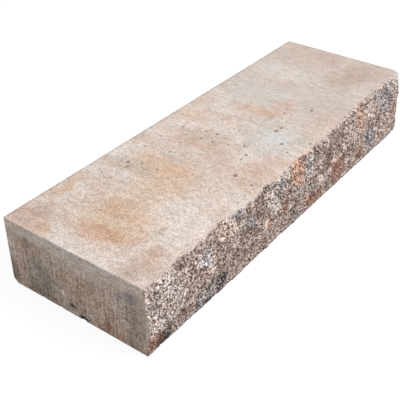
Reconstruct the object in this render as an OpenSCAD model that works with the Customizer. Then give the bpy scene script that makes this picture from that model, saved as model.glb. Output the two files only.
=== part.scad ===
// Concrete block step: one cast block with a smooth tread, back and ends, and a split, bossed riser.
// Millimetres. +X runs along the tread, +Y to the back and +Z up.
// The origin lies under the middle of the block, on the bed that it stands on.

/* [Block] */
// Length along the tread
step_length = 1000; // [500:10:1500]
// Depth from the back to the proudest lump of the riser
step_depth = 350; // [250:5:450]
// Height of the riser
step_height = 150; // [100:5:200]

/* [Cast edges] */
// Chamfer round the back and the ends of the tread
tread_chamfer = 2; // [0.5:0.5:6]
// Radius of the two upright back corners
back_corner_radius = 6; // [2:1:15]
// Size of the chip knocked off the left back corner at the foot
foot_chip = 14; // [4:1:30]

/* [Split riser] */
// How far the riser swells out between its top and bottom edges
boss_rise = 5.5; // [0:0.5:20]
// Spacing of the broken lumps
lump_spacing = 75; // [40:5:150]
// How far the lumps stand in and out
lump_relief = 5; // [0:0.5:12]
// Spacing of the small breaks between the lumps
break_spacing = 26; // [16:1:60]
// How far the small breaks stand in and out
break_relief = 5; // [0:0.5:10]
// Spacing of the stones that stand out of the breaks
stone_spacing = 13; // [8:1:30]
// How far those stones stand in and out
stone_relief = 2; // [0:0.5:5]
// Height at the foot over which the break runs cleaner
clean_foot = 25; // [5:1:60]
// Width beside the tread and the ends over which the break runs cleaner
clean_edge = 15; // [5:1:40]
// Width of one facet of the broken surface
facet_size = 9; // [7:1:25]
// Number that picks the pattern of lumps, breaks and stones
break_pattern = 12; // [1:1:99]
// Radius of the corner knocked off the right end, at the tread
end_chip_top = 26; // [6:1:40]
// How far the break falls back at the right end, at the foot
end_chip_foot = 11; // [3:1:40]
// Length of riser over which it falls back there
end_chip_foot_run = 75; // [5:5:150]

/* [Hidden] */
concrete = [0.80, 0.71, 0.63];

half_length = step_length / 2;
half_depth = step_depth / 2;

// Spalls along the riser's top edge, each measured from the left end:
// [deepest point, run-in from the left, run-out to the right, depth, reach below the tread]
spalls = [
    [98, 10, 24, 5, 40],
    [228, 120, 40, 8, 70],
    [374, 100, 26, 6, 60],
    [505, 100, 33, 9, 85],
    [558, 30, 105, 9, 60],
    [720, 150, 1500, 15, 150],
    [808, 44, 38, 5, 60],
    [905, 50, 70, 4, 60]
];

// The block is cast deeper than the step, and the waste is then split off its front.
split_allowance = 12;
// The waste stands past the block on every other side, so that it parts cleanly.
waste_overlap = 16;
// Share of a facet by which its corners wander
facet_wander = 0.3;
// Share of the relief of the breaks and stones that is left along the foot
foot_break_share = 0.15;
// Share of it that is left along the tread and the ends
edge_break_share = 0.5;

// Facets of the split surface, over the riser and the overlap round it
span_x = step_length + 2 * waste_overlap;
span_z = step_height + 2 * waste_overlap;
facets_x = ceil(span_x / facet_size);
facets_z = ceil(span_z / facet_size);
facet_x = span_x / facets_x;
facet_z = span_z / facets_z;

function clamp(value, low, high) = max(low, min(high, value));
function mix(a, b, share) = a + (b - a) * share;
function ease(share) = share * share * (3 - 2 * share);

// A table of chance heights from -1 to 1, one for each crossing of a net with that spacing
function chance_net(spacing, seed) =
    [for (i = [0:ceil(span_x / spacing) + 1])
        rands(-1, 1, ceil(span_z / spacing) + 2, seed + i)];

// Height between the crossings of a net, at a place measured in meshes of the net
function net_height(net, u, v) =
    let (i = floor(u), j = floor(v), a = ease(u - i), b = ease(v - j))
    mix(mix(net[i][j], net[i + 1][j], a), mix(net[i][j + 1], net[i + 1][j + 1], a), b);

lump_net = chance_net(lump_spacing, break_pattern);
break_net = chance_net(break_spacing, break_pattern + 1000);
stone_net = chance_net(stone_spacing, break_pattern + 4000);
wander_x_net = chance_net(facet_x, break_pattern + 2000);
wander_z_net = chance_net(facet_z, break_pattern + 3000);

function riser_noise(net, spacing, x, z) =
    net_height(net, (x + span_x / 2) / spacing, (z + waste_overlap) / spacing);

// Share of a spall's depth along the edge: full at its deepest point, none past its two ends
function spall_ramp(along, run_in, run_out) =
    max(0, along < 0 ? 1 + along / run_in : 1 - along / run_out);

function spall_bite(spall, x, z) =
    spall[3] * spall_ramp(x + half_length - spall[0], spall[1], spall[2])
    * clamp(1 - (step_height - z) / spall[4], 0, 1);

function spall_depth(x, z, i = 0) =
    i == len(spalls) ? 0 : spall_bite(spalls[i], x, z) + spall_depth(x, z, i + 1);

// How far the rounded corner at the right end falls back: a circle at the tread, an ellipse below it
function end_fall(x, z) =
    let (
        rise = clamp(z / step_height, 0, 1),
        fall = mix(end_chip_foot, end_chip_top, rise),
        run = mix(end_chip_foot_run, end_chip_top, rise),
        inside = clamp(1 - (half_length - x) / run, 0, 1)
    )
    fall * (1 - sqrt(1 - inside * inside));

// Share of the relief of the breaks and stones at a place on the riser
function roughness(x, z) =
    let (edge_distance = min(step_height - z, half_length - abs(x)))
    mix(foot_break_share, 1, clamp(z / clean_foot, 0, 1))
    * mix(edge_break_share, 1, clamp(edge_distance / clean_edge, 0, 1));

// How far the broken surface stands out from the line of the riser's edges
function broken_height(x, z) =
    let (
        swell = sin(180 * clamp(z / step_height, 0, 1)),
        lump = lump_relief * riser_noise(lump_net, lump_spacing, x, z),
        small_break = break_relief * riser_noise(break_net, break_spacing, x, z),
        stone = stone_relief * riser_noise(stone_net, stone_spacing, x, z)
    )
    swell * (boss_rise + lump) + roughness(x, z) * (small_break + stone)
    - spall_depth(x, z) - end_fall(x, z);

function on_rim(i, j) = i == 0 || j == 0 || i == facets_x || j == facets_z;

// Corners of the facets as [x, z, height], with the rim left straight
broken_corners = [
    for (i = [0:facets_x]) for (j = [0:facets_z])
        let (
            wander = on_rim(i, j) ? 0 : facet_wander,
            x = -span_x / 2 + facet_x * (i + wander * wander_x_net[i][j]),
            z = -waste_overlap + facet_z * (j + wander * wander_z_net[i][j])
        )
        [x, z, broken_height(x, z)]
];

// The proudest corner on the riser sets the step's depth.
proudest = max([
    for (c = broken_corners)
        if (abs(c[0]) < half_length && c[1] > 0 && c[1] < step_height) c[2]
]);

function corner_index(i, j) = i * (facets_z + 1) + j;

// Rim of the split surface, once round, from its lower left corner
rim = concat(
    [for (i = [0:facets_x - 1]) corner_index(i, 0)],
    [for (j = [0:facets_z - 1]) corner_index(facets_x, j)],
    [for (i = [facets_x:-1:1]) corner_index(i, facets_z)],
    [for (j = [facets_z:-1:1]) corner_index(0, j)]
);

// Two facets of one cell, cut along one diagonal or the other in turn
function cell_facets(i, j) =
    let (
        a = corner_index(i, j), b = corner_index(i + 1, j),
        c = corner_index(i + 1, j + 1), d = corner_index(i, j + 1)
    )
    (i + j) % 2 == 0 ? [[a, b, c], [a, c, d]] : [[a, b, d], [b, c, d]];

// The waste split off the front of the cast block, with the broken surface on its back
module split_waste() {
    outer_y = -half_depth - split_allowance - waste_overlap;
    broken = [for (c = broken_corners) [c[0], -half_depth + proudest - min(c[2], proudest), c[1]]];
    outer = [for (k = rim) [broken[k][0], outer_y, broken[k][2]]];
    middle = [[0, outer_y, step_height / 2]];
    rims = len(rim);
    first_outer = len(broken);
    hub = first_outer + rims;
    polyhedron(
        points = concat(broken, outer, middle),
        faces = concat(
            [for (i = [0:facets_x - 1]) for (j = [0:facets_z - 1]) each cell_facets(i, j)],
            [for (k = [0:rims - 1]) let (n = (k + 1) % rims) each [
                [rim[n], rim[k], first_outer + k],
                [rim[n], first_outer + k, first_outer + n],
                [hub, first_outer + n, first_outer + k]
            ]]
        )
    );
}

// Outline of the mould from above, with rounded back corners
module plan_outline() {
    front = -half_depth - split_allowance;
    straight_back = half_depth - back_corner_radius;
    translate([-half_length, front]) square([step_length, straight_back - front]);
    translate([-half_length + back_corner_radius, straight_back])
        square([step_length - 2 * back_corner_radius, back_corner_radius]);
    for (side = [-1, 1])
        translate([side * (half_length - back_corner_radius), straight_back])
            circle(back_corner_radius, $fn = 48);
}

// Section across a width, with its top edges chamfered
module chamfered_section(width) {
    polygon([
        [-width / 2, 0],
        [width / 2, 0],
        [width / 2, step_height - tread_chamfer],
        [width / 2 - tread_chamfer, step_height],
        [-width / 2 + tread_chamfer, step_height],
        [-width / 2, step_height - tread_chamfer]
    ]);
}

// The block as it leaves the mould, deeper than the step
module cast_block() {
    cast_depth = step_depth + 2 * (split_allowance + tread_chamfer);
    intersection() {
        linear_extrude(step_height) plan_outline();
        rotate([90, 0, 0])
            linear_extrude(cast_depth, center = true) chamfered_section(step_length);
        translate([-half_length, half_depth - cast_depth / 2, 0]) rotate([90, 0, 90])
            linear_extrude(step_length) chamfered_section(cast_depth);
    }
}

// Chip off the left back corner at the foot
module foot_corner_chip() {
    past = foot_chip / 2;
    reach = foot_chip + 3 * past;
    translate([-half_length - past, half_depth + past, -past])
        polyhedron(
            points = [[0, 0, 0], [reach, 0, 0], [0, -reach, 0], [0, 0, reach]],
            faces = [[0, 1, 2], [0, 3, 1], [0, 2, 3], [1, 3, 2]]
        );
}

module block_step() {
    color(concrete)
        difference() {
            cast_block();
            split_waste();
            foot_corner_chip();
        }
}

block_step();
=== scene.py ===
"""Looks of the concrete block step: broken riser, worn edges and mottled colour.

A copy of the solid is remeshed finely and weathered by a Geometry Nodes modifier, and one procedural
material then colours it. Places are given in millimetres in the part's own frame: x along the tread,
y from the riser to the back and z up from the bed.
"""
import logging
import math
from dataclasses import dataclass
from enum import Enum
from typing import Any, Optional, Union

import bpy
from mathutils import Matrix, Vector


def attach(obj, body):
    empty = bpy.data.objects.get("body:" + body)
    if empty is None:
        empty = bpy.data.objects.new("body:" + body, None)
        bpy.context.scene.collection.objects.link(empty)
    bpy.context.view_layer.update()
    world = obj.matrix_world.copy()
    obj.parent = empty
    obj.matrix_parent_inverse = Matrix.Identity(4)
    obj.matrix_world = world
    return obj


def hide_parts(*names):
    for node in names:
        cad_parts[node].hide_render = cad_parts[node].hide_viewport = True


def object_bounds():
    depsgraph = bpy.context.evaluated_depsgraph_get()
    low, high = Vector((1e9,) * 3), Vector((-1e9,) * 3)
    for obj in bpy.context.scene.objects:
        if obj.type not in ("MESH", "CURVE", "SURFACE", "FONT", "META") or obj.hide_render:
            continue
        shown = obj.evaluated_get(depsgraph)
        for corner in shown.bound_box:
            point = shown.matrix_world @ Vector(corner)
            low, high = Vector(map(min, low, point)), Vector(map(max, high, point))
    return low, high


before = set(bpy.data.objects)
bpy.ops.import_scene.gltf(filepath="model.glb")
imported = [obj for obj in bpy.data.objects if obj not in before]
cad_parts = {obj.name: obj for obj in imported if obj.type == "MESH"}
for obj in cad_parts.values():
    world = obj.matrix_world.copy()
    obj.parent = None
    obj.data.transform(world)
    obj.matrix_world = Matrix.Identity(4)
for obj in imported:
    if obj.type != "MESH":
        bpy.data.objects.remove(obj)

CAD_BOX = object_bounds()
NODE = "block_step"
BODY = "root"
MM = 0.001

log = logging.getLogger("block_step")

Place = tuple[float, float, float]
Colour = tuple[float, float, float, float]

WHITE = (1.0, 1.0, 1.0, 1.0)
# Middle of the chance colours that the noise gives
MIDDLE = (0.5, 0.5, 0.5)
# How far the borders of the stones stray, and over what distance, in widths of a stone
STRAY_REACH = 0.3
STRAY_GRAIN = 1.5


class Mark(Enum):
    """Names of the measures that the mesh carries for its finish.

    Attributes:
        SPLIT: 1 on the split riser and 0 on the cast faces.
        TREAD: 1 on the tread and 0 on the upright faces.
        HOLLOW: How far the place is sunk, and below 0 where it stands out. The colour takes
        painted shade where it is sunk and a painted highlight where it stands out.
        EDGE: The split share, evened out over the places round it.
        RECESS: How far the place lies behind the lumps of the riser. The colour takes painted
        shade behind them and painted light on them.
    """

    SPLIT = "split"
    TREAD = "tread"
    HOLLOW = "hollow"
    EDGE = "edge"
    RECESS = "recess"


@dataclass(frozen=True)
class Tone:
    """A colour written as it looks on a screen, from 0 to 255.

    Attributes:
        red: Red share.
        green: Green share.
        blue: Blue share.
    """

    red: int
    green: int
    blue: int

    def linear(self) -> Colour:
        """Returns the colour as the shader takes it."""
        return (*(self._decode(share / 255) for share in (self.red, self.green, self.blue)), 1.0)

    @staticmethod
    def _decode(share: float) -> float:
        """Returns the light that a screen value from 0 to 1 stands for."""
        return share / 12.92 if share <= 0.04045 else ((share + 0.055) / 1.055) ** 2.4


class Wire:
    """An output of a node that takes part in Python expressions."""

    def __init__(self, graph: "Graph", socket: bpy.types.NodeSocket) -> None:
        """Keeps the socket and the graph that it belongs to."""
        self.graph = graph
        self.socket = socket

    def __add__(self, other: "Term") -> "Wire":
        """Returns self + other."""
        return self.graph.maths("ADD", self, other)

    def __radd__(self, other: "Term") -> "Wire":
        """Returns other + self."""
        return self.graph.maths("ADD", other, self)

    def __sub__(self, other: "Term") -> "Wire":
        """Returns self - other."""
        return self.graph.maths("SUBTRACT", self, other)

    def __rsub__(self, other: "Term") -> "Wire":
        """Returns other - self."""
        return self.graph.maths("SUBTRACT", other, self)

    def __mul__(self, other: "Term") -> "Wire":
        """Returns self * other."""
        return self.graph.maths("MULTIPLY", self, other)

    def __rmul__(self, other: "Term") -> "Wire":
        """Returns other * self."""
        return self.graph.maths("MULTIPLY", other, self)

    def __truediv__(self, other: "Term") -> "Wire":
        """Returns self / other."""
        return self.graph.maths("DIVIDE", self, other)

    def __neg__(self) -> "Wire":
        """Returns the value with its sign turned."""
        return self.graph.maths("MULTIPLY", self, -1.0)

    def __abs__(self) -> "Wire":
        """Returns the value without its sign."""
        return self.graph.maths("ABSOLUTE", self)

    def larger(self, other: "Term") -> "Wire":
        """Returns the larger of two values."""
        return self.graph.maths("MAXIMUM", self, other)

    def smaller(self, other: "Term") -> "Wire":
        """Returns the smaller of two values."""
        return self.graph.maths("MINIMUM", self, other)

    def ease(self, start: float, end: float) -> "Wire":
        """Returns a smooth step.

        Args:
            start: Value at which the step is 0.
            end: Value at which the step is 1, above or below start.

        Returns:
            The step, from 0 to 1.
        """
        low, high = min(start, end), max(start, end)
        to = (0.0, 1.0) if start < end else (1.0, 0.0)
        return self.graph.node(
            "ShaderNodeMapRange",
            {"interpolation_type": "SMOOTHSTEP"},
            {"Value": self, "From Min": low, "From Max": high, "To Min": to[0], "To Max": to[1]},
        )

    def other(self, name: str) -> "Wire":
        """Returns another output of the same node."""
        return Wire(self.graph, self.socket.node.outputs[name])


Term = Union[Wire, float]


class Graph:
    """A node tree that is written as Python expressions."""

    def __init__(self, tree: bpy.types.NodeTree) -> None:
        """Keeps the tree that the nodes go into."""
        self.tree = tree

    @classmethod
    def emptied(cls, owner: Union[bpy.types.Material, bpy.types.World]) -> "Graph":
        """Clears the node tree of a material or a world.

        Args:
            owner: The material or world.

        Returns:
            Its empty tree.
        """
        owner.use_nodes = True
        owner.node_tree.nodes.clear()
        return cls(owner.node_tree)

    def node(
        self,
        kind: str,
        settings: Optional[dict[str, Any]] = None,
        sockets: Optional[dict[Union[str, int], Any]] = None,
        output: str = "",
    ) -> Wire:
        """Adds a node of any type.

        Args:
            kind: Type of the node.
            settings: Values of its properties. The key stops holds a ramp's (place, tone) pairs.
            sockets: Values or wires of its inputs, by name, identifier or number.
            output: Name or identifier of the output wanted, or nothing for the first in use.

        Returns:
            That output.
        """
        node = self.tree.nodes.new(kind)
        for name, value in (settings or {}).items():
            if name == "stops":
                self._set_stops(node.color_ramp, value)
            else:
                setattr(node, name, value)
        for name, value in (sockets or {}).items():
            socket = self._find(node.inputs, name)
            if isinstance(value, Wire):
                self.tree.links.new(value.socket, socket)
            else:
                socket.default_value = value
        if not len(node.outputs):
            return Wire(self, node.inputs[0])
        return Wire(self, self._find(node.outputs, output))

    @staticmethod
    def _find(sockets: Any, name: Union[str, int]) -> bpy.types.NodeSocket:
        """Finds a socket among those in use.

        Args:
            sockets: Inputs or outputs of a node.
            name: The socket's name, identifier or number, or nothing for the first.

        Returns:
            The socket.
        """
        usable = [socket for socket in sockets if socket.enabled]
        if isinstance(name, int):
            return usable[name]
        return next(s for s in usable if name in ("", s.name, s.identifier))

    @staticmethod
    def _set_stops(ramp: bpy.types.ColorRamp, stops: list[tuple[float, Tone]]) -> None:
        """Gives a ramp its stops, each held until the next one.

        Args:
            ramp: The ramp.
            stops: Place and tone of each stop.
        """
        ramp.interpolation = "CONSTANT"
        while len(ramp.elements) < len(stops):
            ramp.elements.new(1.0)
        for element, (place, tone) in zip(ramp.elements, stops):
            element.position = place
            element.color = tone.linear()

    def maths(self, operation: str, *terms: Term) -> Wire:
        """Returns a Math node's result for one or two terms."""
        return self.node("ShaderNodeMath", {"operation": operation}, dict(enumerate(terms)))

    def vector_maths(self, operation: str, first: Any, second: Any) -> Wire:
        """Returns a Vector Math node's result for two vectors."""
        return self.node("ShaderNodeVectorMath", {"operation": operation}, {0: first, 1: second})

    def scaled(self, vector: Wire, factor: Term) -> Wire:
        """Returns a vector times a number."""
        return self.node("ShaderNodeVectorMath", {"operation": "SCALE"}, {"Vector": vector, "Scale": factor})

    def join(self, x: Term, y: Term, z: Term) -> Wire:
        """Returns a vector with these parts."""
        return self.node("ShaderNodeCombineXYZ", {}, {"X": x, "Y": y, "Z": z})

    def parts(self, vector: Wire) -> tuple[Wire, Wire, Wire]:
        """Returns the three parts of a vector."""
        x = self.node("ShaderNodeSeparateXYZ", {}, {"Vector": vector})
        return x, x.other("Y"), x.other("Z")

    def noise(self, vector: Wire, grain_mm: float, detail: float = 2.0, roughness: float = 0.5) -> Wire:
        """Returns a cloudy noise about 0.5.

        Args:
            vector: Place to read it at.
            grain_mm: Size of its largest clouds.
            detail: Number of finer layers.
            roughness: Share that each finer layer keeps.

        Returns:
            The noise.
        """
        return self.node(
            "ShaderNodeTexNoise",
            {},
            {"Vector": vector, "Scale": 1.0 / (grain_mm * MM), "Detail": detail, "Roughness": roughness},
        )

    def cells(self, vector: Wire, grain_mm: float, dimensions: str = "3D") -> Wire:
        """Splits a plane or a space into chance cells.

        Args:
            vector: Place to read them at.
            grain_mm: Usual width of a cell.
            dimensions: 2D or 3D.

        Returns:
            The distance from the middle of the cell, in cells. The node's other outputs hold the
            cell's chance colour and its middle.
        """
        return self.node(
            "ShaderNodeTexVoronoi",
            {"voronoi_dimensions": dimensions},
            {"Vector": vector, "Scale": 1.0 / (grain_mm * MM)},
            "Distance",
        )

    def blurred(self, value: Wire, rounds: int) -> Wire:
        """Evens out a measure of the mesh.

        Args:
            value: The measure.
            rounds: Rounds of neighbouring points that it is evened out over.

        Returns:
            The even measure.
        """
        return self.node(
            "GeometryNodeBlurAttribute", {"data_type": "FLOAT"}, {"Value": value, "Iterations": rounds}
        )

    def blend(self, share: Term, first: Any, second: Any, mode: str = "MIX") -> Wire:
        """Mixes two colours.

        Args:
            share: Share of the second one, from 0 to 1.
            first: A wire or a tone.
            second: Another one.
            mode: How the second acts on the first.

        Returns:
            The mixed colour.
        """
        pair = [c.linear() if isinstance(c, Tone) else c for c in (first, second)]
        return self.node(
            "ShaderNodeMix",
            {"data_type": "RGBA", "blend_type": mode, "clamp_factor": True},
            {"Factor_Float": share, "A_Color": pair[0], "B_Color": pair[1]},
        )


@dataclass(frozen=True)
class Stones:
    """Broken stones on the split riser, each with chance numbers of its own.

    Attributes:
        chance: A chance number from 0 to 1 for each stone.
        hue: Another one.
        tilt: How far the stone's broken face leans out, in widths of a stone, about 0.
    """

    chance: Wire
    hue: Wire
    tilt: Wire

    @classmethod
    def laid(cls, graph: Graph, place: Wire, size_mm: float) -> "Stones":
        """Lays out stones of one size.

        Args:
            graph: Tree to build them in.
            place: Place on the part.
            size_mm: Usual width of a stone.

        Returns:
            The stones.
        """
        x, _, z = graph.parts(place)
        flat = graph.join(x, z, 0.0)
        stray = graph.noise(flat, STRAY_GRAIN * size_mm).other("Color")
        shift = graph.vector_maths("SUBTRACT", stray, MIDDLE)
        strayed = graph.vector_maths("ADD", flat, graph.scaled(shift, STRAY_REACH * size_mm * MM))
        cell = graph.cells(strayed, size_mm, "2D")
        chance, hue, lean = graph.parts(cell.other("Color"))
        along, up, _ = graph.parts(graph.vector_maths("SUBTRACT", strayed, cell.other("Position")))
        tilt = (along * (hue - 0.5) + up * (lean - 0.5)) / (size_mm * MM)
        return cls(chance, hue, tilt)


@dataclass(frozen=True)
class Hollow:
    """A pit or cavity in the concrete, in millimetres.

    Attributes:
        at: Middle of its mouth.
        radius: Radius of its mouth.
        depth: How far it goes in.
    """

    at: Place
    radius: float
    depth: float


@dataclass(frozen=True)
class Blotch:
    """A soft patch of another colour, in millimetres.

    Attributes:
        tone: Colour of the patch.
        at: Its middle.
        reach: Its half widths along x, y and z.
        share: How much of its colour shows in the middle.
    """

    tone: Tone
    at: Place
    reach: Place
    share: float


TREAD_HEIGHT = 150
LEFT_END = -500
RISER_MIDDLE = -158
# Mouth and depth of a pit, and the flat floor of any hollow, as shares of its radius
PIT_MOUTH = 1.15
PIT_DEPTH = 0.8
BOWL_FLOOR = 0.25
# Pits in the tread, as x, y and radius
PITS = [
    (-220, 118, 4.5), (-234, 108, 4.0), (-209, 91, 3.5), (-223, 132, 2.5), (-220, 82, 2.5), (-152, 130, 3.5),
    (-139, 74, 3.5), (-136, 65, 2.5), (-134, -84, 5.0), (-143, -129, 3.5), (-152, 1, 3.0), (-77, -60, 3.5),
    (-57, -58, 4.5), (-27, -35, 3.5), (-45, -6, 3.0), (-65, 14, 2.5), (-57, 56, 4.0), (-55, 27, 3.5),
    (-23, 39, 4.0), (-25, 66, 4.0), (-39, 118, 4.0), (-20, 123, 3.0), (-209, 52, 3.0), (-218, 45, 2.5),
    (-134, 43, 3.0), (-205, -73, 2.5), (-27, 16, 3.0), (-64, 91, 2.5), (-114, 101, 2.5), (-100, 132, 2.5),
    (64, -55, 5.0), (82, -57, 4.0), (25, -93, 5.0), (190, -70, 4.5), (143, -27, 3.5), (164, -21, 3.0),
    (114, -50, 2.5), (36, 68, 3.0), (18, 9, 3.5), (363, -133, 3.5), (159, 75, 2.5), (61, -141, 4.0),
    (2, -120, 3.5), (198, 143, 2.5), (45, 86, 2.5), (361, -100, 3.0),
]
# Cavities in the left end, as y, z, radius and depth
CAVITIES = [
    (-12, 4, 9, 2.5), (16, 22, 6, 2), (6, 20, 4, 1.5), (46, 3, 6, 1.5), (-118, 60, 5, 1), (-60, 6, 5, 1.2),
    (90, 3, 6, 1.2), (-128, 48, 4, 1),
]


def tread_pits() -> list[Hollow]:
    """Returns the small pits in the tread."""
    return [
        Hollow((x, y, TREAD_HEIGHT), PIT_MOUTH * radius, PIT_DEPTH * radius) for x, y, radius in PITS
    ]


def end_cavities() -> list[Hollow]:
    """Returns the cavities in the left end."""
    return [Hollow((LEFT_END, y, z), radius, depth) for y, z, radius, depth in CAVITIES]


@dataclass
class BlockStep:
    """The cast block with its split riser.

    Attributes:
        name: Name of the piece.
        weld_mm: Distance within which the solid's corners are joined.
        voxel_mm: Width of the remeshed faces.
        most_triangles: Triangles that the finished mesh keeps.
        crag_mm: How far the riser's broken crags stand in and out.
        crag_grain_mm: Usual width of the crags.
        stone_mm: Usual width of the stones in the riser.
        stone_relief_mm: How far the stones stand in and out.
        grit_mm: How far the finest grit stands in and out.
        grit_grain_mm: Usual width of the grit.
        cast_wave_mm: How far the cast faces wave.
        cast_grain_mm: Usual width of those waves.
        ragged_mm: How far the foot of the upright faces is broken away.
        ragged_grain_mm: Usual width of those breaks.
        ragged_height_mm: Height that they reach.
        slide_rounds: Rounds of blurring over which the crags run out beside the riser.
        edge_rounds: Rounds over which the finish changes beside the riser.
        sunk_rounds: Rounds that even out the stones, to tell which lie deeper.
        recess_rounds: Rounds that even out the lumps, to tell what lies behind them.
        sunk_mm: Depth between the stones that counts as one.
        dent_mm: Depth of a pit that counts as two.
        recess_mm: Depth behind the lumps that counts as one.
    """

    name: str = "block_step_concrete"
    weld_mm: float = 0.01
    voxel_mm: float = 1.6
    most_triangles: int = 195_000
    crag_mm: float = 5.0
    crag_grain_mm: float = 9.0
    stone_mm: float = 5.0
    stone_relief_mm: float = 1.8
    grit_mm: float = 1.0
    grit_grain_mm: float = 3.5
    cast_wave_mm: float = 0.5
    cast_grain_mm: float = 60.0
    ragged_mm: float = 1.6
    ragged_grain_mm: float = 16.0
    ragged_height_mm: float = 9.0
    slide_rounds: int = 7
    edge_rounds: int = 9
    sunk_rounds: int = 3
    recess_rounds: int = 40
    sunk_mm: float = 1.2
    dent_mm: float = 3.0
    recess_mm: float = 2.0

    def build(self) -> bpy.types.Object:
        """Makes the weathered block from the solid.

        Returns:
            The finished piece, without its material.
        """
        piece = self._copy_solid()
        self._remesh(piece)
        self._weather(piece)
        self._thin_out(piece)
        self._keep_inside(piece)
        bpy.ops.object.shade_smooth()
        return piece

    def _copy_solid(self) -> bpy.types.Object:
        """Copies the solid and joins its faces.

        Returns:
            The copy, selected and active.
        """
        bpy.ops.object.select_all(action="DESELECT")
        piece = bpy.data.objects.new(self.name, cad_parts[NODE].data.copy())
        piece.data.name = self.name
        piece.data.materials.clear()
        bpy.context.scene.collection.objects.link(piece)
        piece.select_set(True)
        bpy.context.view_layer.objects.active = piece
        bpy.ops.object.mode_set(mode="EDIT")
        bpy.ops.mesh.select_all(action="SELECT")
        bpy.ops.mesh.remove_doubles(threshold=self.weld_mm * MM)
        bpy.ops.object.mode_set(mode="OBJECT")
        return piece

    def _remesh(self, piece: bpy.types.Object) -> None:
        """Gives the piece small, even faces.

        Args:
            piece: The copy of the solid.
        """
        remesh = piece.modifiers.new("even faces", "REMESH")
        remesh.mode = "VOXEL"
        remesh.voxel_size = self.voxel_mm * MM
        bpy.ops.object.modifier_apply(modifier=remesh.name)

    def _thin_out(self, piece: bpy.types.Object) -> None:
        """Takes out the faces that the flat parts don't need.

        Args:
            piece: The weathered piece.
        """
        piece.data.calc_loop_triangles()
        triangles = len(piece.data.loop_triangles)
        thin = piece.modifiers.new("fewer faces", "DECIMATE")
        thin.ratio = min(1.0, self.most_triangles / triangles)
        bpy.ops.object.modifier_apply(modifier=thin.name)

    def _keep_inside(self, piece: bpy.types.Object) -> None:
        """Brings points of the piece that lie past the solid's box back onto it."""
        graph, solid = self._open_group("inside the box")
        self._close_group(piece, graph, self._boxed(graph, solid, graph.node("GeometryNodeInputPosition")))

    @staticmethod
    def _open_group(name: str) -> tuple[Graph, Wire]:
        """Starts a new group of geometry nodes.

        Args:
            name: Name of the group.

        Returns:
            The group and the mesh that comes in.
        """
        tree = bpy.data.node_groups.new(name, "GeometryNodeTree")
        for side in ("INPUT", "OUTPUT"):
            tree.interface.new_socket("Geometry", in_out=side, socket_type="NodeSocketGeometry")
        graph = Graph(tree)
        return graph, graph.node("NodeGroupInput", output="Geometry")

    @staticmethod
    def _close_group(piece: bpy.types.Object, graph: Graph, solid: Wire) -> None:
        """Ends a group of geometry nodes and puts it to use.

        Args:
            piece: The piece that it changes.
            graph: The group.
            solid: The changed mesh.
        """
        graph.node("NodeGroupOutput", {}, {"Geometry": solid})
        change = piece.modifiers.new(graph.tree.name, "NODES")
        change.node_group = graph.tree
        bpy.ops.object.modifier_apply(modifier=change.name)

    @staticmethod
    def _boxed(graph: Graph, solid: Wire, place: Wire) -> Wire:
        """Moves the mesh's points, but not past the solid's box.

        Args:
            graph: Tree to build it in.
            solid: The mesh.
            place: Where its points go.

        Returns:
            The moved mesh.
        """
        inside = graph.vector_maths("MAXIMUM", place, CAD_BOX[0])
        inside = graph.vector_maths("MINIMUM", inside, CAD_BOX[1])
        return graph.node("GeometryNodeSetPosition", {}, {"Geometry": solid, "Position": inside})

    def _weather(self, piece: bpy.types.Object) -> None:
        """Breaks the riser, pits the tread and wears the edges.

        Args:
            piece: The remeshed piece.
        """
        graph, solid = self._open_group("weathered concrete")
        place = graph.node("GeometryNodeInputPosition")
        normal = graph.node("GeometryNodeInputNormal", output="Normal")
        solid, split = self._store(graph, solid, Mark.SPLIT, self._split_share(graph, normal))
        solid, tread = self._store(graph, solid, Mark.TREAD, graph.parts(normal)[2].ease(0.5, 0.9))
        dent = self._dents(graph, place)
        slide = graph.blurred(split, self.slide_rounds).ease(0.02, 0.45)
        broken = self._crags(graph, place) * slide + self._stone_faces(graph, place) * split
        worn = self._cast_wear(graph, place, normal) + dent
        below_edge = graph.parts(place)[2].ease(TREAD_HEIGHT * MM, 138 * MM) * 0.8 + 0.2
        sunk = (graph.blurred(broken, self.sunk_rounds) - broken) / (self.sunk_mm * MM) * split * below_edge
        hollow = (dent / (self.dent_mm * MM)).smaller(1.0) * 2.0 + sunk
        solid, _ = self._store(graph, solid, Mark.HOLLOW, hollow)
        solid, _ = self._store(graph, solid, Mark.EDGE, graph.blurred(split, self.edge_rounds))
        depth = graph.parts(place)[1]
        behind = (depth - graph.blurred(depth, self.recess_rounds)) / (self.recess_mm * MM)
        recess = behind.larger(-0.5).smaller(1.0) * split
        solid, _ = self._store(graph, solid, Mark.RECESS, recess)
        moved = graph.vector_maths(
            "ADD",
            graph.join(0.0, -broken, 0.0),
            graph.scaled(normal, -((1.0 - split) * worn)),
        )
        target = graph.vector_maths("ADD", place, moved)
        self._close_group(piece, graph, self._boxed(graph, solid, target))

    @staticmethod
    def _store(graph: Graph, solid: Wire, mark: Mark, value: Wire) -> tuple[Wire, Wire]:
        """Writes a measure to the mesh.

        Args:
            graph: Tree to build it in.
            solid: The mesh.
            mark: Name of the measure.
            value: The measure.

        Returns:
            The mesh and the stored measure.
        """
        stored = graph.node(
            "GeometryNodeStoreNamedAttribute",
            {"data_type": "FLOAT", "domain": "POINT"},
            {"Geometry": solid, "Name": mark.value, "Value": value},
        )
        read = graph.node(
            "GeometryNodeInputNamedAttribute", {"data_type": "FLOAT"}, {"Name": mark.value}, "Attribute"
        )
        return stored, read

    @staticmethod
    def _split_share(graph: Graph, normal: Wire) -> Wire:
        """Returns 1 on the split riser and 0 on the cast faces."""
        facing = -graph.parts(normal)[1]
        return facing.ease(0.3, 0.55)

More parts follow.
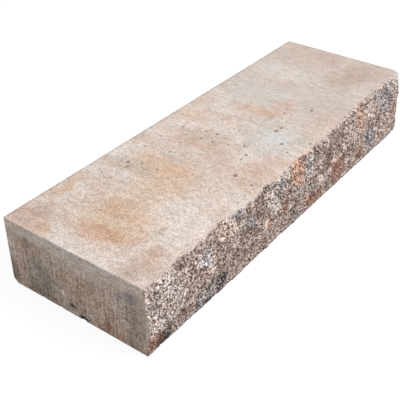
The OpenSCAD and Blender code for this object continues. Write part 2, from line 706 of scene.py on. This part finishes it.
    def _crags(self, graph: Graph, place: Wire) -> Wire:
        """Says how far the broken crags stand out of the riser's rough form.

        Args:
            graph: Tree to build it in.
            place: Place on the part.

        Returns:
            The distance in metres.
        """
        x, _, z = graph.parts(place)
        calm = z.ease(-6 * MM, 22 * MM) * 0.85 + 0.15
        crags = graph.noise(graph.join(x, 0.0, z), self.crag_grain_mm, 2.0, 0.6) - 0.5
        return crags * calm * (self.crag_mm * MM)

    def _stone_faces(self, graph: Graph, place: Wire) -> Wire:
        """Says how far the broken stones stand out of the crags.

        Args:
            graph: Tree to build it in.
            place: Place on the part.

        Returns:
            The distance in metres.
        """
        x, _, z = graph.parts(place)
        inner = z.ease(-2 * MM, 8 * MM) * z.ease(158 * MM, 138 * MM) * x.ease(505 * MM, 465 * MM)
        calm = inner * 0.75 + 0.25
        stones = Stones.laid(graph, place, self.stone_mm)
        faces = stones.chance.ease(0.0, 0.7) - 0.6 + stones.tilt * 2.0
        grit = graph.noise(place, self.grit_grain_mm, 2.0, 0.6) - 0.5
        return (faces * self.stone_relief_mm + grit * self.grit_mm) * calm * MM

    def _cast_wear(self, graph: Graph, place: Wire, normal: Wire) -> Wire:
        """Says how far the cast faces lie behind their true form.

        Args:
            graph: Tree to build it in.
            place: Place on the part.
            normal: Direction that the surface faces.

        Returns:
            The distance in metres.
        """
        _, _, up = graph.parts(normal)
        _, _, z = graph.parts(place)
        wave = graph.noise(place, self.cast_grain_mm, 3.0, 0.5) * self.cast_wave_mm
        foot = z.ease(self.ragged_height_mm * MM, 0.0) * (1.0 - abs(up)).larger(0.0)
        breaks = (graph.noise(place, self.ragged_grain_mm, 3.0, 0.6) - 0.35).larger(0.0)
        ragged = breaks * foot * self.ragged_mm
        return (wave + ragged) * MM

    @staticmethod
    def _dents(graph: Graph, place: Wire) -> Wire:
        """Says how deep the pits and cavities are.

        Args:
            graph: Tree to build it in.
            place: Place on the part.

        Returns:
            The distance in metres.
        """
        depth: Term = 0.0
        for hollow in tread_pits() + end_cavities():
            middle = tuple(value * MM for value in hollow.at)
            away = graph.vector_maths("DISTANCE", place, middle)
            bowl = away.ease(hollow.radius * MM, BOWL_FLOOR * hollow.radius * MM)
            depth = bowl * (hollow.depth * MM) + depth
        return depth


# How far the patches of each face reach along the direction that it faces
TREAD_DEPTH = 100
RISER_DEPTH = 200
END_DEPTH = 12


def on_tread(tone: Tone, x: float, y: float, along: float, across: float, share: float) -> Blotch:
    """Returns a patch on the tread, from its middle and half widths."""
    return Blotch(tone, (x, y, TREAD_HEIGHT), (along, across, TREAD_DEPTH), share)


def on_riser(tone: Tone, x: float, z: float, along: float, up: float, share: float) -> Blotch:
    """Returns a patch on the split riser, from its middle and half widths."""
    return Blotch(tone, (x, RISER_MIDDLE, z), (along, RISER_DEPTH, up), share)


def on_end(tone: Tone, y: float, z: float, across: float, up: float, share: float) -> Blotch:
    """Returns a patch on the left end, from its middle and half widths."""
    return Blotch(tone, (LEFT_END, y, z), (END_DEPTH, across, up), share)


CREAM = Tone(230, 217, 208)
SAND = Tone(216, 196, 182)
OCHRE = Tone(219, 187, 161)
RUST_OCHRE = Tone(203, 160, 132)
PINK = Tone(208, 179, 164)
PALE_GREY = Tone(212, 206, 200)
FROST = Tone(224, 222, 221)
GREEN_GREY = Tone(192, 180, 163)
BROWN = Tone(186, 163, 149)
DUST = Tone(204, 191, 182)
WARM_CAST = Tone(255, 252, 250)
COOL_CAST = Tone(251, 254, 255)
# Patches of the tread, as tone, x, y, half widths along and across, and share
TREAD_PATCHES = [
    (SAND, -150, -20, 80, 90, 0.8), (DUST, 380, 0, 260, 260, 0.7),
    (PALE_GREY, 210, 80, 50, 85, 0.7), (PALE_GREY, 320, 80, 45, 90, 0.6),
    (CREAM, 322, 90, 40, 80, 0.4), (DUST, 215, -95, 75, 55, 0.9),
    (PINK, 265, 45, 28, 30, 0.4), (BROWN, 378, -58, 64, 38, 0.5),
    (BROWN, 395, -47, 24, 9, 0.25), (PINK, 450, 80, 60, 90, 0.25),
    (BROWN, 460, 30, 25, 40, 0.4), (BROWN, 450, -90, 56, 54, 0.5),
    (BROWN, 425, 5, 10, 10, 0.3), (CREAM, -475, 20, 28, 70, 0.9),
    (OCHRE, -385, 0, 64, 70, 0.8), (RUST_OCHRE, -428, -10, 14, 48, 0.6),
    (RUST_OCHRE, -356, 30, 26, 28, 0.3), (OCHRE, -250, 10, 66, 48, 0.6),
    (OCHRE, -190, 50, 32, 70, 0.75), (RUST_OCHRE, -195, -5, 24, 20, 0.2),
    (OCHRE, -350, 155, 44, 16, 0.7), (PINK, -460, 130, 46, 44, 0.65),
    (BROWN, -445, 135, 20, 20, 0.5), (RUST_OCHRE, -480, 90, 18, 14, 0.5),
    (CREAM, -340, -112, 60, 40, 0.9), (PINK, -440, -112, 52, 28, 0.5),
    (RUST_OCHRE, -408, -116, 16, 14, 0.4), (BROWN, -488, -115, 20, 30, 0.45),
    (PALE_GREY, -418, -82, 16, 10, 0.45), (GREEN_GREY, -360, -82, 12, 8, 0.5),
    (GREEN_GREY, -225, 100, 28, 40, 0.6), (SAND, -300, 108, 30, 22, 0.5),
    (PINK, -330, 85, 40, 14, 0.4), (PINK, -85, 40, 40, 80, 0.6),
    (CREAM, -112, 28, 18, 16, 0.5), (PINK, -90, -125, 75, 40, 0.6),
    (GREEN_GREY, -40, 40, 24, 60, 0.4), (DUST, 45, -68, 72, 66, 0.6),
    (PALE_GREY, 40, -70, 55, 52, 0.9), (PALE_GREY, -10, -110, 18, 45, 0.6),
    (FROST, 40, -74, 30, 34, 0.35), (GREEN_GREY, 64, -120, 22, 12, 0.5),
    (GREEN_GREY, 74, -56, 16, 8, 0.6), (OCHRE, 25, 125, 22, 34, 0.4),
    (RUST_OCHRE, 115, 25, 26, 42, 0.45), (PINK, 165, -10, 44, 26, 0.6),
    (BROWN, 105, -17, 22, 8, 0.5), (PINK, 150, -120, 60, 30, 0.4),
]
WARM_GREY = Tone(175, 160, 149)
LILAC = Tone(211, 195, 187)
ASH = Tone(204, 202, 200)
SLATE = Tone(100, 116, 132)
NAVY = Tone(34, 40, 60)
UMBER = Tone(116, 88, 73)
SOOT = Tone(32, 18, 10)
MOSS = Tone(96, 90, 77)
RED_BROWN = Tone(150, 102, 82)
RUST_RED = Tone(178, 118, 100)
ORANGE = Tone(206, 154, 126)
ROSE = Tone(186, 164, 151)
CHALK = Tone(213, 203, 198)
PEAT = Tone(62, 37, 27)
BLUSH = Tone(215, 188, 173)
# Patches of the riser, as tone, x, z, half widths along and up, and share
RISER_PATCHES = [
    (LILAC, -455, 100, 60, 60, 0.9), (RED_BROWN, -488, 28, 30, 22, 0.9),
    (SOOT, -459, 20, 22, 21, 1.0), (UMBER, -410, 142, 8, 14, 0.7),
    (UMBER, -390, 75, 16, 16, 0.5), (ASH, -338, 112, 24, 18, 0.9),
    (BLUSH, -336, 70, 16, 20, 0.9), (NAVY, -320, 28, 46, 30, 1.0),
    (CHALK, -348, 32, 9, 12, 0.7), (RED_BROWN, -280, 64, 18, 14, 0.4),
    (BLUSH, -270, 130, 28, 16, 0.9), (SLATE, -236, 142, 16, 12, 0.7),
    (UMBER, -205, 86, 26, 16, 0.5), (SLATE, -192, 106, 14, 10, 0.6),
    (UMBER, -160, 118, 22, 22, 0.8), (CHALK, -150, 66, 12, 10, 0.7),
    (ORANGE, -135, 68, 12, 14, 0.8), (SOOT, -136, 146, 8, 8, 0.8),
    (ASH, -110, 116, 22, 34, 0.3), (SOOT, -104, 72, 8, 8, 0.6),
    (SLATE, -82, 132, 10, 18, 0.9), (RED_BROWN, -64, 74, 16, 21, 1.0),
    (ORANGE, -16, 126, 28, 28, 0.9), (MOSS, -22, 26, 20, 28, 0.85),
    (ASH, 32, 116, 14, 28, 0.9), (UMBER, 68, 136, 9, 18, 0.7),
    (UMBER, 108, 98, 26, 30, 1.0), (LILAC, 66, 70, 18, 12, 0.7),
    (ORANGE, 28, 38, 14, 12, 0.7), (RED_BROWN, 60, 28, 36, 20, 0.9),
    (MOSS, 112, 36, 9, 20, 0.8), (RUST_RED, 138, 44, 14, 30, 0.7),
    (RED_BROWN, 166, 42, 30, 32, 0.9), (UMBER, 195, 70, 24, 14, 0.8),
    (UMBER, 160, 112, 30, 16, 0.5), (MOSS, 40, 66, 20, 14, 0.6),
    (UMBER, -230, 44, 40, 30, 0.35), (UMBER, 232, 60, 16, 18, 0.6),
    (UMBER, 350, 74, 34, 12, 0.6), (MOSS, 460, 24, 24, 10, 0.5),
    (ROSE, 228, 125, 14, 18, 0.7), (ORANGE, 280, 120, 20, 32, 0.5),
    (RED_BROWN, 264, 34, 18, 20, 0.9), (SOOT, 246, 14, 12, 10, 0.6),
    (NAVY, 277, 75, 8, 7, 0.7), (MOSS, 294, 18, 10, 12, 0.7),
    (SLATE, 335, 38, 30, 26, 0.8), (CHALK, 326, 108, 18, 16, 0.5),
    (SLATE, 366, 140, 16, 12, 0.85), (SLATE, 410, 112, 34, 30, 0.7),
    (ASH, 456, 134, 30, 24, 0.45), (UMBER, 458, 72, 30, 10, 0.6),
    (ROSE, 410, 36, 34, 18, 0.7), (UMBER, 414, 54, 9, 7, 0.7),
]
STONE_TINTS = [
    (0.0, Tone(236, 232, 230)),
    (0.3, Tone(222, 208, 202)),
    (0.5, Tone(228, 228, 230)),
    (0.65, Tone(204, 180, 168)),
    (0.8, Tone(246, 248, 250)),
    (0.92, Tone(168, 164, 164)),
]
TAUPE = Tone(194, 176, 164)
SMOKE = Tone(205, 194, 185)
OLIVE = Tone(148, 140, 129)
EARTH = Tone(178, 155, 139)
LOAM = Tone(131, 117, 106)
# Patches of the left end, as tone, y, z, half widths across and up, and share
END_PATCHES = [
    (SMOKE, 0, 140, 200, 16, 0.8), (SMOKE, 0, 116, 70, 16, 0.5),
    (LOAM, -135, 60, 26, 70, 0.5), (OLIVE, 90, 52, 38, 44, 0.8),
    (EARTH, 136, 62, 14, 44, 0.6), (LOAM, 165, 34, 14, 30, 0.7),
    (LOAM, 118, 118, 8, 16, 0.5), (EARTH, 0, 66, 40, 38, 0.8),
    (EARTH, -70, 48, 46, 36, 0.7), (CHALK, 52, 88, 5, 4, 0.9),
    (CREAM, 36, 42, 8, 5, 0.6), (CREAM, 42, 14, 9, 7, 0.6),
    (PINK, -10, 30, 9, 9, 0.6), (CREAM, -34, 20, 7, 7, 0.5),
    (RUST_RED, -72, 20, 8, 9, 0.6), (RUST_RED, -102, 12, 9, 6, 0.5),
    (SMOKE, -91, 80, 4, 24, 0.7), (SLATE, -126, 114, 14, 10, 0.4),
    (SLATE, -104, 106, 10, 12, 0.35), (SMOKE, -112, 50, 10, 9, 0.6),
    # The two SOOT patches lie over the two cavities at the foot and darken them
    (MOSS, 70, 12, 60, 8, 0.3), (SOOT, -14, 6, 12, 6, 0.8),
    (SOOT, 15, 22, 9, 4, 0.7),
]
# Brown of the painted shade in the pits, the cavities and between the riser's stones
PAINTED_HOLLOW_SHADE = Tone(66, 48, 40)
# Powers of a shade for red, green and blue
SHADE_POWERS = (0.92, 1.0, 1.07)
# Steps in metres that set one chance pattern apart from another
HUE_SHIFT = (0.7, 0.3, 0.5)
FINE_SHIFT = (0.11, 0.43)
PALE_SHIFT = (0.37, 0.21)


@dataclass(frozen=True)
class ConcreteFinish:
    """Mottled concrete, smooth where it was cast and stony where it was split.

    Attributes:
        name: Name of the material.
        stone_mm: Usual width of the coloured stones in the riser.
        dark_speck_mm: Usual distance between the riser's dark specks.
        fine_speck_mm: Usual distance between its finer dark specks.
        pale_speck_mm: Usual distance between its chalky specks.
        grain_mm: Usual width of the grains that speckle the cast faces.
        sand_mm: Width of the finest bumps of the cast faces.
        grit_mm: Width of the finest bumps of the riser.
        bump_mm: Height of those bumps.
        bump_strength: How much of that height shows.
        roughness: Roughness of the concrete.
        specular: Strength of its gloss.
    """

    name: str = "mottled_concrete"
    stone_mm: float = 2.8
    dark_speck_mm: float = 4.6
    fine_speck_mm: float = 3.1
    pale_speck_mm: float = 4.2
    grain_mm: float = 2.4
    sand_mm: float = 1.6
    grit_mm: float = 3.0
    bump_mm: float = 0.8
    bump_strength: float = 0.8
    roughness: float = 0.9
    specular: float = 0.25

    def material(self) -> bpy.types.Material:
        """Makes the material and its nodes.

        Returns:
            The material.
        """
        material = bpy.data.materials.new(self.name)
        graph = Graph.emptied(material)
        place = graph.node("ShaderNodeTexCoord", output="Object")
        tread = self._mark(graph, Mark.TREAD)
        hollow = self._mark(graph, Mark.HOLLOW)
        edge = self._mark(graph, Mark.EDGE)
        split = self._split(graph, place, edge)
        colour = graph.blend(split, self._cast(graph, place, tread), self._stony(graph, place, edge))
        # Painted shade in the pits, the cavities and between the riser's stones, and a painted highlight
        # where the stones stand out
        colour = graph.blend((hollow * 0.35).larger(0.0).smaller(0.6), colour, PAINTED_HOLLOW_SHADE)
        colour = graph.blend((hollow * -0.15).larger(0.0).smaller(0.3), colour, CREAM)
        sand = graph.noise(place, self.sand_mm, 2.0, 0.6)
        grit = graph.noise(place, self.grit_mm, 3.0, 0.65)
        height = sand * (1.0 - split) * 0.35 + grit * split
        bumps = {"Strength": self.bump_strength, "Distance": self.bump_mm * MM, "Height": height}
        normal = graph.node("ShaderNodeBump", {}, bumps)
        shader = graph.node(
            "ShaderNodeBsdfPrincipled",
            {},
            {
                "Base Color": colour,
                "Roughness": self.roughness,
                "Specular IOR Level": self.specular,
                "Normal": normal,
            },
        )
        graph.node("ShaderNodeOutputMaterial", {}, {"Surface": shader})
        return material

    @staticmethod
    def _mark(graph: Graph, mark: Mark) -> Wire:
        """Returns a measure that the mesh carries."""
        return graph.node(
            "ShaderNodeAttribute",
            {"attribute_type": "GEOMETRY", "attribute_name": mark.value},
            output="Fac",
        )

    @staticmethod
    def _split(graph: Graph, place: Wire, edge: Wire) -> Wire:
        """Says where the split riser's looks show, up to a ragged line beside the cast faces.

        Args:
            graph: Tree to build it in.
            place: Place on the part.
            edge: The split share, evened out.

        Returns:
            1 on the riser and 0 on the cast faces.
        """
        x, _, z = graph.parts(place)
        loose = z.ease(125 * MM, 145 * MM)
        reach = edge + x.ease(50 * MM, 450 * MM) * loose * 0.2
        ragged = (graph.noise(place, 10.0, 3.0, 0.7) - 0.5) * (loose * 1.2 + 0.4)
        return (reach + ragged).ease(0.3, 0.42) * edge.ease(0.0, 0.06)

    @staticmethod
    def _stray(graph: Graph, place: Wire, grain_mm: float, stray_mm: float) -> Wire:
        """Makes a chance shift that gives patches uneven rims.

        Args:
            graph: Tree to build it in.
            place: Place on the part.
            grain_mm: Distance over which the shift changes.
            stray_mm: How far it goes.

        Returns:
            The shift.
        """
        cloud = graph.noise(place, grain_mm, 3.0, 0.6).other("Color")
        shift = graph.vector_maths("SUBTRACT", cloud, MIDDLE)
        return graph.scaled(shift, 2.0 * stray_mm * MM)

    def _strayed(self, graph: Graph, place: Wire, grain_mm: float, stray_mm: float) -> Wire:
        """Returns the place, moved about by a chance shift."""
        return graph.vector_maths("ADD", place, self._stray(graph, place, grain_mm, stray_mm))

    @staticmethod
    def _patched(graph: Graph, place: Wire, colour: Wire, blotches: list[Blotch], rim: float) -> Wire:
        """Lays patches over a colour.

        Args:
            graph: Tree to build them in.
            place: Place on the part, with its patches' rims strayed.
            colour: Colour under the patches.
            blotches: The patches, the lowest first.
            rim: Share of a patch's half width over which it fades on either side.

        Returns:
            The patched colour.
        """
        for blotch in blotches:
            centre = tuple(at / reach for at, reach in zip(blotch.at, blotch.reach))
            near = graph.vector_maths("DIVIDE", place, tuple(reach * MM for reach in blotch.reach))
            away = graph.vector_maths("DISTANCE", near, centre)
            share = away.ease(1.0 + rim, 1.0 - rim) * blotch.share
            colour = graph.blend(share, colour, blotch.tone)
        return colour

    def _cast(self, graph: Graph, place: Wire, tread: Wire) -> Wire:
        """Colours the cast faces.

        Args:
            graph: Tree to build it in.
            place: Place on the part.
            tread: 1 on the tread and 0 on the upright faces.

        Returns:
            The colour.
        """
        x, y, z = graph.parts(place)
        drawn = graph.join(x, y * 0.4, z)
        strayed = graph.vector_maths("ADD", place, self._stray(graph, drawn, 45.0, 30.0))
        strayed = graph.vector_maths("ADD", strayed, self._stray(graph, drawn, 12.0, 12.0))
        clouds = graph.noise(drawn, 40.0, 4.0, 0.6)
        mottled = graph.blend(clouds.ease(0.3, 0.7), SAND, CREAM)
        top = self._patched(graph, strayed, mottled, [on_tread(*patch) for patch in TREAD_PATCHES], 0.6)
        hue = graph.noise(graph.vector_maths("ADD", drawn, HUE_SHIFT), 22.0, 3.0, 0.6)
        cast = graph.blend(hue.ease(0.35, 0.65), WARM_CAST, COOL_CAST)
        top = graph.blend(1.0, top, cast, "MULTIPLY")
        side = graph.blend(clouds.ease(0.35, 0.65), TAUPE, EARTH)
        nudged = self._strayed(graph, place, 10.0, 4.0)
        side = self._patched(graph, nudged, side, [on_end(*patch) for patch in END_PATCHES], 0.35)
        side = graph.blend(1.0, side, self._streaks(graph, place), "MULTIPLY")
        colour = graph.blend(tread, side, top)
        grains, _, _ = graph.parts(graph.cells(place, self.grain_mm).other("Color"))
        specks = grains - 0.5
        flecks = graph.noise(drawn, 10.0, 4.0, 0.7) - 0.5
        worn = x.ease(500 * MM, -300 * MM) * 0.6 + 0.4
        rubbed = z.ease(90 * MM, 125 * MM) * (1.0 - tread)
        # Painted shade along the back and right edges of the tread, and a painted highlight along its left
        # edge
        painted_edge_shade = (y.ease(166 * MM, 172 * MM) + x.ease(489 * MM, 496 * MM)).smaller(1.0)
        painted_arris_light = (painted_edge_shade - x.ease(-490 * MM, -497 * MM) * 0.4) * tread
        shade = specks * (0.95 - tread * 0.45 - rubbed * 0.35) * worn + 1.0 - painted_arris_light * 0.2
        shade = shade + flecks * (1.3 - tread * 0.5 - rubbed * 0.4) + tread * 0.01
        return self._shaded(graph, colour, shade)

    @staticmethod
    def _shaded(graph: Graph, colour: Wire, shade: Wire) -> Wire:
        """Shades a colour, browner where the shade is dark and cooler where it is light.

        Args:
            graph: Tree to build it in.
            colour: The colour.
            shade: The shade, about 1.

        Returns:
            The shaded colour.
        """
        light = shade.larger(0.0)
        channels = [graph.maths("POWER", light, power) for power in SHADE_POWERS]
        return graph.blend(1.0, colour, graph.join(*channels), "MULTIPLY")

    @staticmethod
    def _streaks(graph: Graph, place: Wire) -> Wire:
        """Shades the upright lines that the mould left.

        Args:
            graph: Tree to build it in.
            place: Place on the part.

        Returns:
            The shade, about 1.
        """
        x, y, z = graph.parts(place)
        drawn = graph.join(x, y, z * 0.07)
        lines = graph.noise(drawn, 5.0, 3.0, 0.7)
        uneven = z + (graph.noise(place, 30.0, 2.0) - 0.5) * (60 * MM)
        return 1.0 - (lines - 0.5) * uneven.ease(130 * MM, 90 * MM) * 2.2

    def _stony(self, graph: Graph, place: Wire, edge: Wire) -> Wire:
        """Colours the split riser.

        Args:
            graph: Tree to build it in.
            place: Place on the part.
            edge: The split share, evened out.

        Returns:
            The colour.
        """
        strayed = self._strayed(graph, self._strayed(graph, place, 24.0, 13.0), 7.0, 6.0)
        clouds = graph.noise(strayed, 30.0, 3.0, 0.6)
        plain = graph.blend(clouds.ease(0.35, 0.65), WARM_GREY, ROSE)
        patched = self._patched(graph, strayed, plain, [on_riser(*patch) for patch in RISER_PATCHES], 0.2)
        large = Stones.laid(graph, place, self.stone_mm)
        small = Stones.laid(graph, place, 0.6 * self.stone_mm)
        ground = graph.blend(small.hue.ease(0.0, 0.2), plain, patched)
        tint = graph.node("ShaderNodeValToRGB", {"stops": STONE_TINTS}, {"Fac": large.hue})
        ground = graph.blend(0.6, ground, tint, "MULTIPLY")
        x, _, z = graph.parts(self._strayed(graph, place, 4.0, 1.2))
        crowd = graph.noise(place, 16.0, 2.0, 0.6) - 0.5
        light = (large.chance * 0.6 + small.chance * 0.4).ease(0.1, 0.9)
        dark = self._specks(graph, graph.join(x, z, 0.0), self.dark_speck_mm, crowd)
        beside = graph.join(x + FINE_SHIFT[0], z + FINE_SHIFT[1], 0.0)
        fine = self._specks(graph, beside, self.fine_speck_mm, crowd)
        beside = graph.join(x + PALE_SHIFT[0], z + PALE_SHIFT[1], 0.0)
        pale = self._specks(graph, beside, self.pale_speck_mm, -crowd)
        red, _, blue = graph.parts(patched)
        cool = blue / red
        chalky = pale * (cool.ease(0.2, 0.7) * 0.7 + 0.3)
        rim = edge.ease(0.95, 0.5)
        deep = x.ease(-360 * MM, -240 * MM) * x.ease(140 * MM, -40 * MM)
        stark = light * (deep * 0.4 + 1.75) + 0.43 - deep * 0.18 + x.ease(120 * MM, 280 * MM) * 0.09
        # Painted shade, darker and browner, behind the riser's lumps, and painted light on the lumps
        recess = self._mark(graph, Mark.RECESS)
        shade = stark * (chalky * 0.45 + 1.0) * ((clouds - 0.5) * 0.2 + 1.0) * (1.05 - recess * 0.2)
        shaded = self._shaded(graph, ground, shade)
        shaded = graph.blend(recess * 0.35, shaded, UMBER)
        powder = chalky * (cool.ease(0.95, 1.2) * 0.4 + red.ease(0.35, 0.15) * 0.5 + 0.5)
        shaded = graph.blend(powder, shaded, CHALK)
        shaded = graph.blend(dark.larger(fine * 0.6) * (0.88 - rim * 0.5), shaded, PEAT)
        _, _, z = graph.parts(place)
        # Painted shade along the foot of the riser, darker towards the floor
        foot = (z + crowd * (24 * MM)).ease(-2 * MM, 8 * MM) * 0.65 + 0.35
        return graph.blend(1.0, shaded, foot, "MULTIPLY")

    @staticmethod
    def _specks(graph: Graph, flat: Wire, spacing_mm: float, crowd: Wire) -> Wire:
        """Scatters small specks that lie apart from each other.

        Args:
            graph: Tree to build them in.
            flat: Place on the riser's plane.
            spacing_mm: Usual distance between two specks.
            crowd: How much closer than usual they stand there, about 0.

        Returns:
            1 on the specks and 0 between them.
        """
        cell = graph.cells(flat, spacing_mm, "2D")
        chance, size, _ = graph.parts(cell.other("Color"))
        return (cell - size * 0.25).ease(0.42, 0.2) * (chance + crowd * 2.0).ease(0.25, 0.45)


@dataclass
class Viewpoint:
    """The camera at the photograph's angle.

    Attributes:
        azimuth: Degrees round the part, with 0 in front of the riser.
        elevation: Degrees above the floor.
        distance: Metres from the part's origin to the camera, along the view.
        right: Metres that the camera stands to the right.
        up: Metres that the camera stands higher.
        focal_px: Focal length in pixels of the picture.
        picture_px: Width of the picture.
        sensor_mm: Width of the camera's sensor.
    """

    azimuth: float = -53.42
    elevation: float = 34.68
    distance: float = 1.7102
    right: float = -0.0802
    up: float = -0.0151
    focal_px: float = 763.9
    picture_px: float = 400.0
    sensor_mm: float = 36.0

    def place(self) -> None:
        """Sets up the camera and makes it the scene's own."""
        azimuth, elevation = math.radians(self.azimuth), math.radians(self.elevation)
        back = Vector((
            math.sin(azimuth) * math.cos(elevation),
            -math.cos(azimuth) * math.cos(elevation),
            math.sin(elevation),
        ))
        right = Vector((0.0, 0.0, 1.0)).cross(back).normalized()
        up = back.cross(right)
        lens = bpy.data.cameras.new("photo_camera")
        lens.sensor_width = self.sensor_mm
        lens.lens = self.sensor_mm * self.focal_px / self.picture_px
        camera = bpy.data.objects.new("photo_camera", lens)
        turn = Matrix((right, up, back)).transposed().to_4x4()
        eye = back * self.distance + right * self.right + up * self.up
        camera.matrix_world = Matrix.Translation(eye) @ turn
        bpy.context.scene.collection.objects.link(camera)
        bpy.context.scene.camera = camera


@dataclass
class Studio:
    """A white floor and soft light.

    Attributes:
        floor_width: Width of the floor in metres.
        floor_bounce: Light grey of the floor as it lights the part.
        floor_shade: Dark grey of the floor as it is seen, which takes the shadow.
        floor_glow: Strength of the white that the seen floor gives off as well.
        sky: Strength of the even light from all round.
        key_power: Watts of the large lamp over the riser.
        key_size: Width of that lamp.
        key_at: Place of that lamp.
    """

    floor_width: float = 12.0
    floor_bounce: float = 0.8
    floor_shade: float = 0.16
    floor_glow: float = 0.9
    sky: float = 0.62
    key_power: float = 92.0
    key_size: float = 2.2
    key_at: Place = (0.9, -2.2, 2.6)

    def build(self) -> None:
        """Makes the floor, the lamp and the sky."""
        bpy.context.scene.view_settings.view_transform = "Standard"
        self._floor()
        self._lamp()
        self._sky()

    @staticmethod
    def _seen(graph: Graph) -> Wire:
        """Returns 1 for rays that show the background, and 0 for those that light the part."""
        path = graph.node("ShaderNodeLightPath", output="Is Camera Ray")
        return path.larger(path.other("Is Glossy Ray")).larger(path.other("Is Transmission Ray"))

    def _floor(self) -> None:
        """Makes a white floor that keeps the part's shadow."""
        bpy.ops.object.select_all(action="DESELECT")
        bpy.ops.mesh.primitive_plane_add(size=self.floor_width, location=(0.0, 0.0, CAD_BOX[0].z))
        floor = bpy.context.active_object
        floor.name = "floor"
        material = bpy.data.materials.new("white_floor")
        graph = Graph.emptied(material)
        matt = graph.node("ShaderNodeBsdfDiffuse", {}, {"Color": self._grey(self.floor_bounce)})
        dim = graph.node("ShaderNodeBsdfDiffuse", {}, {"Color": self._grey(self.floor_shade)})
        glow = graph.node("ShaderNodeEmission", {}, {"Color": WHITE, "Strength": self.floor_glow})
        lit = graph.node("ShaderNodeAddShader", {}, {0: dim, 1: glow})
        shader = graph.node("ShaderNodeMixShader", {}, {0: self._seen(graph), 1: matt, 2: lit})
        graph.node("ShaderNodeOutputMaterial", {}, {"Surface": shader})
        floor.data.materials.append(material)

    @staticmethod
    def _grey(share: float) -> Colour:
        """Returns a grey that throws back this share of the light."""
        return (share, share, share, 1.0)

    def _lamp(self) -> None:
        """Hangs a square lamp that faces the part."""
        data = bpy.data.lights.new("key_lamp", "AREA")
        data.size = self.key_size
        data.energy = self.key_power
        lamp = bpy.data.objects.new("key_lamp", data)
        lamp.location = self.key_at
        lamp.rotation_euler = Vector(self.key_at).to_track_quat("Z", "Y").to_euler()
        bpy.context.scene.collection.objects.link(lamp)

    def _sky(self) -> None:
        """Lights the part evenly from all round, in front of a white background."""
        world = bpy.data.worlds.new("studio")
        graph = Graph.emptied(world)
        light = graph.node("ShaderNodeBackground", {}, {"Strength": self.sky})
        white = graph.node("ShaderNodeBackground", {}, {"Color": WHITE, "Strength": 1.0})
        shader = graph.node("ShaderNodeMixShader", {}, {0: self._seen(graph), 1: light, 2: white})
        graph.node("ShaderNodeOutputWorld", {}, {"Surface": shader})
        bpy.context.scene.world = world


def main() -> None:
    """Builds the step, its finish and the studio."""
    logging.basicConfig(level=logging.INFO, format="%(message)s")
    Viewpoint().place()
    Studio().build()
    piece = BlockStep().build()
    piece.data.materials.append(ConcreteFinish().material())
    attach(piece, BODY)
    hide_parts(NODE)
    log.info("%s: %d faces", piece.name, len(piece.data.polygons))


if __name__ == "__main__":
    main()
